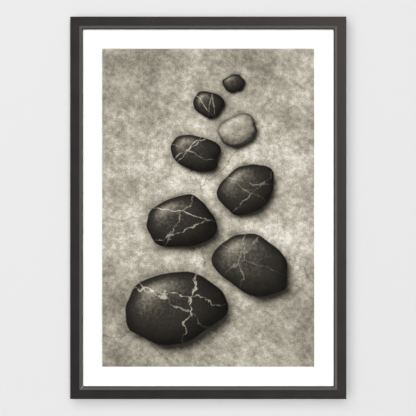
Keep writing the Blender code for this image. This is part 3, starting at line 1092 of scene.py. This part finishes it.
@dataclass(frozen=True)
class Layout:
    """Where the frame lies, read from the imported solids, in metres."""

    front: float
    back: float
    middle: float
    half_width: float
    half_height: float
    face: float

    @classmethod
    def from_solids(cls) -> "Layout":
        """Reads the rails' corners.

        Returns:
            The layout.
        """
        top_low, top_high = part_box("rail_top")
        bottom_low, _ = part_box("rail_bottom")
        right_low, right_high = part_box("rail_right")
        return cls(
            front=top_low.y,
            back=top_high.y,
            middle=(top_high.z + bottom_low.z) / 2,
            half_width=right_high.x,
            half_height=(top_high.z - bottom_low.z) / 2,
            face=right_high.x - right_low.x,
        )

    def half_span(self, side: Side) -> float:
        """How far a rail's outer side is from the picture's middle."""
        return self.half_height if side in (Side.TOP, Side.BOTTOM) else self.half_width

    def half_length(self, side: Side) -> float:
        """Half the length of a rail, from mitre tip to mitre tip."""
        return self.half_width if side in (Side.TOP, Side.BOTTOM) else self.half_height

    def rail_axes(self, side: Side) -> Matrix:
        """A rail's own axes: its length along X, its outer side at Z 0, and its face at Y 0.

        Args:
            side: Which rail.

        Returns:
            Its axes in the room's.
        """
        middle = Matrix.Translation((0.0, self.front, self.middle))
        turn = Matrix.Rotation(math.radians(side.value), 4, "Y")
        return middle @ turn @ Matrix.Translation((0.0, 0.0, self.half_span(side)))


@dataclass(frozen=True)
class Moulding:
    """The four mitred rails. Lengths are in metres, inward from the outer side and deep from the face."""

    layout: Layout
    flat: float = 0.0146
    slope: float = 30.0
    nose_radius: float = 0.0022
    shoulder_radius: float = 0.0006
    arris_radius: float = 0.0008
    back_ease: float = 0.0004
    lip: float = 0.0055
    rabbet: float = 0.006
    mitre_ease: float = 0.00008
    hair: float = 0.0000002
    toe_chip: float = 0.00075
    chip_from: float = 0.0158
    primed_turn: float = 32.0
    arris_steps: int = 8
    shoulder_steps: int = 5
    nose_steps: int = 9
    ease_steps: int = 3
    v_steel: float = 0.0005
    v_rise: float = 0.003
    v_half_span: float = 0.0045
    v_spare: float = 0.00006
    v_cut_depth: float = 0.0006

    @property
    def depth(self) -> float:
        """How deep the moulding is."""
        return self.layout.back - self.layout.front

    @property
    def back_face(self) -> float:
        """How wide the moulding's back is."""
        return self.layout.face - self.rabbet

    def section(self) -> list[Point]:
        """The moulding's section, from its outer back edge over the face to the rabbet and round the back.

        Returns:
            The points in order, as (inward, deep).
        """
        face, slope = self.layout.face, math.radians(self.slope)
        ease = self.shoulder_radius * math.tan(slope / 2)
        shoulder_at = (self.flat - ease, self.shoulder_radius)
        nose_starts = face - self.nose_radius * (1 - math.sin(slope))
        nose_depth = (nose_starts - self.flat) * math.tan(slope) + self.nose_radius * math.cos(slope)
        nose_at = (face - self.nose_radius, nose_depth)
        back_ease, back_from = self.back_ease, self.depth - self.back_ease
        return [
            *arc((self.arris_radius, self.arris_radius), self.arris_radius, -180, -90, self.arris_steps),
            *arc(shoulder_at, self.shoulder_radius, -90, self.slope - 90, self.shoulder_steps),
            *arc(nose_at, self.nose_radius, self.slope - 90, 0, self.nose_steps),
            (face, self.lip),
            (self.back_face, self.lip),
            *arc((self.back_face - back_ease, back_from), back_ease, 0, 90, self.ease_steps),
            *arc((back_ease, back_from), back_ease, 90, 180, self.ease_steps),
        ]

    def is_bare(self, inward: float, deep: float) -> bool:
        """True on the rabbet, the lip's back and the back, which the lacquer doesn't cover."""
        in_rabbet = inward > self.back_face - 1e-5 and deep > self.lip - 1e-5
        return in_rabbet or deep > self.depth - self.back_ease

    def is_primed(self, inward: float, deep: float) -> bool:
        """True on the inner side of the sight edge, from well round its nose down to the lip's back."""
        turned_at = self.layout.face - self.nose_radius * (1 - math.sin(math.radians(self.primed_turn)))
        return inward > turned_at and deep < self.lip

    def end(self, side: Side, right_end: bool, inward: float) -> float:
        """Where a rail ends along its length, at a distance inward from its outer side."""
        reach = self.layout.half_length(side) - inward
        return reach if right_end else -reach

    def chipped_edges(self, side: Side, rims: Iterable[bmesh.types.BMEdge]) -> list[bmesh.types.BMEdge]:
        """The edges along the slope at the lower left mitre, where the lacquer has chipped to pale gesso, a
        painted glint.

        Args:
            side: Which rail.
            rims: The edges of the rail's two ends.

        Returns:
            The chipped ones, if this rail has them.
        """
        if side not in (Side.BOTTOM, Side.LEFT):
            return []
        sign = 1 if side is Side.BOTTOM else -1
        chipped = []
        for edge in rims:
            x, y, z = (edge.verts[0].co + edge.verts[1].co) / 2
            upright = abs(edge.verts[0].co.z - edge.verts[1].co.z) < self.mitre_ease
            if sign * x > 0 and -z > self.chip_from and y < self.lip - self.back_ease and not upright:
                chipped.append(edge)
        return chipped

    def rail(self, side: Side) -> bpy.types.Object:
        """Builds one rail in its own axes and puts it in place.

        Args:
            side: Which rail.

        Returns:
            The rail, with its faces set to lacquer, bare timber, black primer and gesso (a painted glint), in
            that order.
        """
        bm = bmesh.new()
        rings = [
            [bm.verts.new((self.end(side, right, inward), deep, -inward)) for inward, deep in self.section()]
            for right in (False, True)
        ]
        caps, skins = closed(bm, rings)
        for skin in skins:
            middle = skin.calc_center_median()
            bare, primed = self.is_bare(-middle.z, middle.y), self.is_primed(-middle.z, middle.y)
            skin.material_index = 1 if bare else 2 if primed else 0
        for cap in caps:
            cap.material_index = 1
        rims = {edge for cap in caps for edge in cap.edges}
        chipped = self.chipped_edges(side, rims)
        eased = list(rims.difference(chipped))
        bmesh.ops.bevel(bm, geom=eased, offset=self.mitre_ease, segments=1, affect="EDGES")
        chipped = [edge for edge in chipped if edge.is_valid]
        if chipped:
            # The chip's faces take the pale gesso, a painted glint at the lower left mitre
            bmesh.ops.bevel(bm, geom=chipped, offset=self.toe_chip, segments=1, affect="EDGES", material=3)
        many_sided = [face for face in bm.faces if len(face.verts) > 4]
        bmesh.ops.triangulate(bm, faces=many_sided)
        # The eased rims swell by a hair, which would take the rail outside its solid
        longest = self.layout.half_length(side) - self.hair
        for vert in bm.verts:
            x, y, z = vert.co
            vert.co = (max(-longest, min(longest, x)), max(self.hair, y), min(-self.hair, z))
        rail = to_object(f"moulding_{side.label}", bm)
        rail.matrix_world = self.layout.rail_axes(side)
        return rail

    def v_slot(self, across: int, up: int) -> bpy.types.Object:
        """The cut that a V-nail has pressed into the back at one corner, just wider than its steel.

        Args:
            across: -1 at a left corner and 1 at a right one.
            up: -1 at a lower corner and 1 at an upper one.

        Returns:
            The solid to cut away.
        """
        tilt = math.atan2(self.v_rise, self.v_half_span)
        thick = (self.v_steel / 2 + self.v_spare) / math.cos(tilt)
        reach = self.v_half_span + self.v_spare
        apex, foot = self.v_rise / 2, self.v_rise / 2 - reach * math.tan(tilt)
        legs = [(foot, -reach), (apex, 0.0), (foot, reach)]
        outline = [(x + thick, z) for x, z in legs] + [(x - thick, z) for x, z in reversed(legs)]
        bm = bmesh.new()
        depths = (self.depth - self.v_cut_depth, self.depth + self.v_cut_depth)
        closed(bm, [[bm.verts.new((x, deep, z)) for x, z in outline] for deep in depths])
        slot = to_object("v_slot", bm)
        half_back = self.back_face / 2
        x, z = (self.layout.half_width - half_back) * across, (self.layout.half_height - half_back) * up
        place = Matrix.Translation((x, self.layout.front, self.layout.middle + z))
        slot.matrix_world = place @ Matrix.Rotation(-math.atan2(up, across), 4, "Y")
        return slot

    def build(self, *finishes: bpy.types.Material) -> None:
        """Makes the four rails, cuts the V-nails' slots into their backs and dresses them.

        Args:
            *finishes: The rails' materials, in the order that their faces count them.
        """
        slots = [self.v_slot(across, up) for across in (-1, 1) for up in (-1, 1)]
        for side in Side:
            rail = self.rail(side)
            for finish in finishes:
                rail.data.materials.append(finish)
            for slot in slots:
                cut = rail.modifiers.new("v slot", "BOOLEAN")
                cut.object = slot
            settle(rail)
            even_out(rail)
            settle(rail)
            show(rail, f"rail_{side.label}")
        for slot in slots:
            bpy.data.objects.remove(slot)


@dataclass(frozen=True)
class PrintedSheet:
    """The print, held flat by the mat but not quite flat: heavy paper keeps a trace of its roll."""

    across: int = 44
    up: int = 66
    ripple: float = 0.00009
    rolls: Point = (19.0, 13.0)
    rolls_from: Point = (0.7, -0.4)
    cockles: Point = (53.0, -31.0)
    cockle_share: float = 0.4

    def lift(self, x: float, z: float) -> float:
        """How far a point of the sheet stands forward of its place, in metres.

        Args:
            x: Its place to the right, in metres.
            z: Its place up, in metres.

        Returns:
            The lift.
        """
        roll = math.sin(x * self.rolls[0] + self.rolls_from[0])
        roll *= math.cos(z * self.rolls[1] + self.rolls_from[1])
        cockle = math.sin(x * self.cockles[0] + z * self.cockles[1])
        return self.ripple * (roll + self.cockle_share * cockle) / (1.0 + self.cockle_share)

    def build(self, finish: bpy.types.Material) -> None:
        """Makes the sheet in the place of its solid.

        Args:
            finish: The print's material.
        """
        low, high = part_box("print")
        size = high - low
        bm = bmesh.new()
        bmesh.ops.create_grid(bm, x_segments=self.across, y_segments=self.up, size=0.5)
        for vert in bm.verts:
            x = low.x + (vert.co.x + 0.5) * size.x
            z = low.z + (vert.co.y + 0.5) * size.z
            vert.co = (x, low.y - self.lift(x, z), z)
        front = list(bm.faces)
        grown = bmesh.ops.extrude_face_region(bm, geom=front, use_keep_orig=True)["geom"]
        back = [item for item in grown if isinstance(item, bmesh.types.BMVert)]
        bmesh.ops.translate(bm, verts=back, vec=(0.0, size.y, 0.0))
        sheet = to_object("printed_sheet", bm)
        show(sheet, "print", finish)


@dataclass(frozen=True)
class FlexiblePoints:
    """The framer's points: strips of thin spring steel shot into the rails, with their round tips bent up."""

    layout: Layout
    steel: float = 0.0004
    in_wood: float = 0.006
    reach: float = 0.012
    bend_from: float = 0.0045
    curl: float = 0.0012
    tail_width: float = 0.7
    tail_share: float = 0.8
    tip_turn: float = 84.0
    steps: int = 8
    tip_steps: int = 12
    edge: float = 0.00007
    smooth_under: float = 25.0

    def strip(self, width: float) -> bmesh.types.BMesh:
        """A strip along -Z from the wood, its flat side at Y 0.

        Args:
            width: How wide the strip is.

        Returns:
            The closed mesh.
        """
        half = width / 2
        tail = [(-self.in_wood, half * self.tail_width), (-self.in_wood * self.tail_share, half)]
        bend_to = self.reach - half
        step = (bend_to - self.bend_from) / self.steps
        rising = [(self.bend_from + step * k, half) for k in range(self.steps)]
        tip = [(bend_to + x, z) for z, x in arc(ORIGIN[:2], half, 0, self.tip_turn, self.tip_steps)]
        bm = bmesh.new()
        rings = []
        for along, half_width in [*tail, (0.0, half), *rising, *tip]:
            share = max(0.0, along - self.bend_from) / (self.reach - self.bend_from)
            lift = self.curl * share**2
            top = lift + self.steel
            corners = ((-half_width, lift), (half_width, lift), (half_width, top), (-half_width, top))
            rings.append([bm.verts.new((x, y, -along)) for x, y in corners])
        closed(bm, rings)
        return bm

    def build(self, nodes: Iterable[str], finish: bpy.types.Material) -> None:
        """Makes one strip in the place of each point's solid.

        Args:
            nodes: The names of the frame's solids.
            finish: The steel.
        """
        for side in Side:
            for node in sorted(name for name in nodes if name.startswith(f"point_{side.label}_")):
                low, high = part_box(node)
                span = high - low
                width = min(span.x, span.z)
                middle = (low + high) / 2
                axes = self.layout.rail_axes(side)
                own = axes.inverted() @ Vector((middle.x, low.y, middle.z))
                along = Vector((own.x, own.y, own.z + (self.reach - self.in_wood) / 2))
                name = node.replace("point", "framers_point")
                point = to_object(name, self.strip(width), self.smooth_under)
                point.matrix_world = axes @ Matrix.Translation(along)
                soften(point, self.edge, 1)
                settle(point)
                show(point, node, finish)


@dataclass(frozen=True)
class SawtoothHanger:
    """The pressed hanger: two flat tabs, a raised middle and nine notches, and the two tacks that hold it."""

    steel: float = 0.001
    raised: float = 0.028
    joggle: float = 0.003
    corner: float = 0.002
    corner_steps: int = 8
    pitch: float = 0.003
    notch: float = 0.0018
    notches_each_side: int = 4
    hole_radius: float = 0.001
    hole_sides: int = 24
    bends: int = 8
    edge: float = 0.00013
    smooth_under: float = 35.0
    tack_head: float = 0.002
    tack_shank: float = 0.0007
    tack_tip: float = 0.0018
    tip_taper: Point = (0.5, 0.6)
    rim: float = 0.00018
    head_share: float = 0.0865
    brim_share: float = 0.35
    head_turn: float = 80.0
    head_steps: int = 8
    tack_sides: int = 32
    tack_smooth_under: float = 50.0

    def outline(self, half_length: float, low: float, high: float) -> list[Point]:
        """The plate's face, from the first tooth round its rounded tabs.

        Args:
            half_length: Half its length.
            low: Its lower edge.
            high: Its upper edge.

        Returns:
            The points in order.
        """
        inset, turn = half_length - self.corner, self.corner
        points: list[Point] = []
        for k in range(-self.notches_each_side, self.notches_each_side + 1):
            points += [((k - 0.5) * self.pitch, low), (k * self.pitch, low + self.notch)]
        points.append(((self.notches_each_side + 0.5) * self.pitch, low))
        corners = ((inset, low + turn), (inset, high - turn), (-inset, high - turn), (-inset, low + turn))
        for centre, start in zip(corners, (-90, 0, 90, 180)):
            points += arc(centre, turn, start, start + 90, self.corner_steps)
        return points

    def ride_height(self, x: float, rise: float) -> tuple[float, float]:
        """The height of the plate's middle above the tabs, and its slope, at a place along it.

        Args:
            x: The place.
            rise: How far the raised middle stands above the tabs.

        Returns:
            The height and the slope.
        """
        share = (self.raised / 2 + self.joggle - abs(x)) / self.joggle
        if not 0 < share < 1:
            return (rise if share >= 1 else 0.0), 0.0
        slope = -math.copysign(rise * math.pi / 2 * math.sin(math.pi * share) / self.joggle, x)
        return rise * (1 - math.cos(math.pi * share)) / 2, slope

    def plate(self, tacks: Sequence[Vector], finish: bpy.types.Material) -> None:
        """Makes the plate: a flat blank with its holes punched, cut finely where it bends, then pressed.

        Args:
            tacks: The middles of the two tacks.
            finish: The zinc plate.
        """
        low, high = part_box("hanger")
        rise = high.y - low.y - self.steel
        half_length = high.x
        bm = bmesh.new()
        loops = [self.outline(half_length, low.z, high.z)]
        last = 360 - 360 / self.hole_sides
        loops += [arc((tack.x, tack.z), self.hole_radius, 0, last, self.hole_sides - 1) for tack in tacks]
        for loop in loops:
            verts = [bm.verts.new((x, 0.0, z)) for x, z in loop]
            for k in range(len(verts)):
                bm.edges.new((verts[k - 1], verts[k]))
        bmesh.ops.triangle_fill(bm, use_beauty=True, edges=list(bm.edges))
        for side in (-1, 1):
            for step in range(self.bends + 1):
                x = side * (self.raised / 2 + self.joggle * step / self.bends)
                everything = [*bm.verts, *bm.edges, *bm.faces]
                cut = {"plane_co": (x, 0, 0), "plane_no": (1, 0, 0), "dist": TOUCHING}
                bmesh.ops.bisect_plane(bm, geom=everything, **cut)
        bottom = set(bm.verts)
        bmesh.ops.extrude_face_region(bm, geom=list(bm.faces), use_keep_orig=True)
        for vert in bm.verts:
            lift, slope = self.ride_height(vert.co.x, rise)
            lean = math.atan(slope)
            off = -self.steel / 2 if vert in bottom else self.steel / 2
            vert.co.x -= off * math.sin(lean)
            vert.co.y = low.y + self.steel / 2 + lift + off * math.cos(lean)
        hanger = to_object("sawtooth_hanger", bm, self.smooth_under)
        soften(hanger, self.edge)
        settle(hanger)
        show(hanger, "hanger", finish)

    def tack(self, node: str, finish: bpy.types.Material) -> None:
        """Makes one tack in the place of its solid: a point, a shank and a low domed head with a thin rim.

        Args:
            node: The solid's name.
            finish: The brass.
        """
        low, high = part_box(node)
        thick = (high.y - low.y) * self.head_share
        head_from = high.y - thick
        brim = head_from + thick * self.brim_share
        profile = [
            (0.0, low.y),
            (self.tack_shank * self.tip_taper[0], low.y + self.tack_tip * self.tip_taper[1]),
            (self.tack_shank, low.y + self.tack_tip),
            (self.tack_shank, head_from),
            (self.tack_head - self.rim, head_from),
            (self.tack_head, head_from + self.rim),
            *arc((0.0, brim), self.tack_head, 0, self.head_turn, self.head_steps, high.y - brim),
            (0.0, high.y),
        ]
        name = node.replace("nail", "tack")
        tack = turned(name, profile, self.tack_sides, node, self.tack_smooth_under)
        show(tack, node, finish)

    def build(self, plate: bpy.types.Material, brass: bpy.types.Material) -> None:
        """Makes the plate and its two tacks.

        Args:
            plate: The plate's material.
            brass: The tacks' material.
        """
        tacks = ("hanger_nail_left", "hanger_nail_right")
        middles = [sum(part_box(node), Vector()) / 2 for node in tacks]
        self.plate(middles, plate)
        for node in tacks:
            self.tack(node, brass)


@dataclass(frozen=True)
class Bumpers:
    """Two moulded rubber pads that hold the frame's foot off the wall."""

    flat_share: float = 0.72
    dome: float = 0.0012
    foot: float = 0.0002
    dimple_rim: float = 0.35
    dimple_floor: float = 0.22
    dome_steps: int = 10
    sides: int = 48

    def build(self, finish: bpy.types.Material) -> None:
        """Makes each pad in the place of its solid.

        Args:
            finish: The rubber.
        """
        for node in ("bumper_left", "bumper_right"):
            low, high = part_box(node)
            radius = (high.x - low.x) / 2
            flat = radius * self.flat_share
            profile = [
                (0.0, low.y),
                (radius - self.foot, low.y),
                (radius, low.y + self.foot),
                *arc((flat, high.y - self.dome), radius - flat, 0, 90, self.dome_steps, self.dome),
                (flat * self.dimple_rim, high.y),
                (flat * self.dimple_floor, high.y - self.foot),
                (0.0, high.y - self.foot),
            ]
            show(turned(f"wall_{node}", profile, self.sides, node), node, finish)


def dress_solid(node: bpy.types.Object, finish: bpy.types.Material, edge: float = 0.0) -> None:
    """Gives a solid that stays its finish, and eases its edges if it is asked to.

    Args:
        node: The solid's object.
        finish: The material.
        edge: How wide its edges are eased, in metres, or 0 to leave them.
    """
    node.data.materials.clear()
    node.data.materials.append(finish)
    if edge:
        weld = node.modifiers.new("one skin", "WELD")
        weld.merge_threshold = TOUCHING
        soften(node, edge, 1)
    log.info("%s: dressed as %s", node.name, finish.name)


@dataclass(frozen=True)
class Softbox:
    """One soft light. Reflections leave it out and show the room instead, so the glass has no glare."""

    name: str
    away: tuple[float, float, float]
    width: float
    height: float
    power: float

    def build(self, target: Vector) -> None:
        """Hangs the light at its distance from a target and aims it there.

        Args:
            target: What it lights.
        """
        data = bpy.data.lights.new(self.name, "AREA")
        data.shape = "RECTANGLE"
        data.size = self.width
        data.size_y = self.height
        data.energy = self.power
        light = bpy.data.objects.new(self.name, data)
        bpy.context.scene.collection.objects.link(light)
        light.location = target + Vector(self.away)
        light.rotation_euler = (-Vector(self.away)).to_track_quat("-Z", "Y").to_euler()
        light.visible_camera = False
        light.visible_glossy = False
        light.visible_transmission = False


@dataclass(frozen=True)
class Studio:
    """The pale wall and floor, the soft lights and the camera."""

    layout: Layout
    wall_colour: Colour = (0.61, 0.61, 0.61, 1.0)
    floor_colour: Colour = (0.12, 0.12, 0.118, 1.0)
    floor_glow: Colour = (0.56, 0.56, 0.55, 1.0)
    dark: Colour = (0.0, 0.0, 0.0, 1.0)
    white: Colour = (1.0, 1.0, 1.0, 1.0)
    mirrored_ahead: Colour = (1.0, 0.82, 0.78, 1.0)
    mirrored_around: Colour = (1.0, 0.98, 0.91, 1.0)
    wall_gap: float = 0.0003
    hung_at: float = 1.5
    room: float = 6.0
    ambient: float = 0.088
    around_level: float = 0.8
    left_level: float = 0.75
    below_level: float = 0.35
    above_level: float = -0.12
    behind_level: float = 0.8
    upper_right_level: float = 1.95
    backdrop_level: float = 0.80
    glass_share: float = 0.5
    lens: float = 100.0
    softboxes: tuple[Softbox, ...] = (
        Softbox("front_fill", (0.95, -7.0, 0.3), 1.6, 1.6, 166.0),
        Softbox("key", (-1.45, -6.8, 1.1), 7.7, 9.8, 727.0),
        Softbox("back_fill", (-1.2, 2.6, 1.3), 1.8, 1.8, 70.0),
    )

    @property
    def target(self) -> Vector:
        """The middle of the picture, in the plane of the frame's face."""
        return Vector((0.0, self.layout.front, self.layout.middle))

    def one_sided(self, name: str, colour: Colour, glow: Colour) -> bpy.types.Material:
        """A plain matt surface that isn't there when seen from behind, with a glow that evens its light.

        Args:
            name: The material's name.
            colour: The paint's colour.
            glow: The colour of its own light.

        Returns:
            The material.
        """
        mat = Material(name)
        stipple = mat.noise(mat.point, 420.0, 2.0)
        mat.dress(Base_Color=colour, Roughness=0.95, Normal=mat.bump(stipple, 0.05, 0.0003))
        mat.dress(Emission_Color=glow, Emission_Strength=1.0)
        return mat.clear_where(mat.add("ShaderNodeNewGeometry").outputs["Backfacing"], self.white)

    def backdrop(self, name: str, finish: bpy.types.Material, matrix: Matrix) -> None:
        """A large sheet of wall or floor that only the camera sees, so that it takes no light from the back.

        Args:
            name: The sheet's name.
            finish: Its paint.
            matrix: Its place.
        """
        bm = bmesh.new()
        bmesh.ops.create_grid(bm, x_segments=1, y_segments=1, size=self.room)
        sheet = to_object(name, bm)
        sheet.data.materials.append(finish)
        sheet.matrix_world = matrix
        for ray in ("visible_diffuse", "visible_glossy", "visible_transmission", "visible_shadow"):
            setattr(sheet, ray, False)

    def surroundings(self) -> None:
        """The room's light: even for matt surfaces, and dark ahead for mirrors, but for the upper right."""
        world = bpy.data.worlds.new("room")
        world.use_nodes = True
        bpy.context.scene.world = world
        room = Graph(world.node_tree)
        out = world.node_tree.nodes["Background"]
        heading = room.add("ShaderNodeTexCoord").outputs["Generated"]
        x, y, z = room.parts(heading)
        below = room.ramp(z, -0.3, -0.8, 0.0, self.below_level)
        left = room.ramp(x, -0.15, -0.80, 0.0, self.left_level)
        around = room.total(left, room.product(z, self.above_level), below, self.around_level)
        sides = room.mix(room.ramp(y, 0.0, 0.5), around, self.behind_level)
        lead = room.total(room.product(x, 0.9), room.product(z, 0.5))
        upper_right = room.ramp(lead, 0.10, 0.26, 0.0, self.upper_right_level)
        off_ahead = room.ramp(y, -0.85, -0.62)
        mirrored = room.mix(off_ahead, upper_right, sides)
        path = room.add("ShaderNodeLightPath").outputs
        by_glass_or_gloss = room.math("MAXIMUM", path["Is Glossy Ray"], path["Is Transmission Ray"])
        by_glass = room.product(mirrored, self.glass_share)
        seen = room.mix(path["Is Singular Ray"], mirrored, by_glass)
        level = room.mix(by_glass_or_gloss, self.ambient, seen)
        level = room.mix(path["Is Camera Ray"], level, self.backdrop_level)
        warmth = room.tint(off_ahead, self.mirrored_ahead, self.mirrored_around)
        room.feed(out.inputs["Strength"], level)
        room.feed(out.inputs["Color"], room.tint(by_glass_or_gloss, self.white, warmth))

    def camera(self) -> None:
        """Sets the camera square on, where the photograph's view puts the frame in the picture."""
        data = bpy.data.cameras.new("camera")
        data.lens = self.lens
        camera = bpy.data.objects.new("camera", data)
        bpy.context.scene.collection.objects.link(camera)
        distance = PHOTO_SPAN * self.lens / data.sensor_width
        pixel = PHOTO_SPAN / PHOTO_SIDE
        right, down = (pixel * (place - PHOTO_SIDE / 2) for place in PHOTO_MIDDLE)
        camera.location = self.target + Vector((-right, -distance, down))
        camera.rotation_euler = (math.radians(90), 0.0, 0.0)
        bpy.context.scene.camera = camera

    def build(self) -> None:
        """Makes the wall, the floor, the lights, the room's light and the camera."""
        self.camera()
        _, bumper_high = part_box("bumper_left")
        wall_at = Matrix.Translation((0.0, bumper_high.y + self.wall_gap, self.layout.middle))
        paint = self.one_sided("wall_paint", self.wall_colour, self.dark)
        self.backdrop("wall", paint, wall_at @ Matrix.Rotation(math.radians(90), 4, "X"))
        floor_at = Matrix.Translation((0.0, 0.0, self.layout.middle - self.hung_at))
        self.backdrop("floor", self.one_sided("floor_paint", self.floor_colour, self.floor_glow), floor_at)
        for softbox in self.softboxes:
            softbox.build(self.target)
        self.surroundings()
        scene = bpy.context.scene
        scene.view_settings.view_transform = "Standard"
        scene.view_settings.look = "None"


def main() -> None:
    """Loads the frame, then makes and dresses each sub-assembly in turn."""
    logging.basicConfig(level=logging.INFO, format="%(message)s")
    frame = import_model()
    nodes = frame["nodes"]
    layout = Layout.from_solids()
    Studio(layout).build()

    spring_steel = Metal.SPRING_STEEL.material()
    coats = [coat.material() for coat in Undercoat]
    moulding = Moulding(layout)
    moulding.build(SatinLacquer(moulding.flat).material(), BareTimber().material(), *coats)
    dress_solid(nodes["glazing"], PictureGlass().material(), SHEET_EDGE)
    dress_solid(nodes["mat"], MatBoard().material())
    PrintedSheet().build(TonedPrint().material(layout.middle))
    dress_solid(nodes["backing_board"], Hardboard().material(), SHEET_EDGE)
    FlexiblePoints(layout).build(nodes, spring_steel)
    for node in sorted(name for name in nodes if name.startswith("v_nail_")):
        dress_solid(nodes[node], spring_steel)
    SawtoothHanger().build(Metal.ZINC_PLATE.material(), Metal.BRASSED_STEEL.material())
    Bumpers().build(DarkRubber().material())


if __name__ == "__main__":
    main()
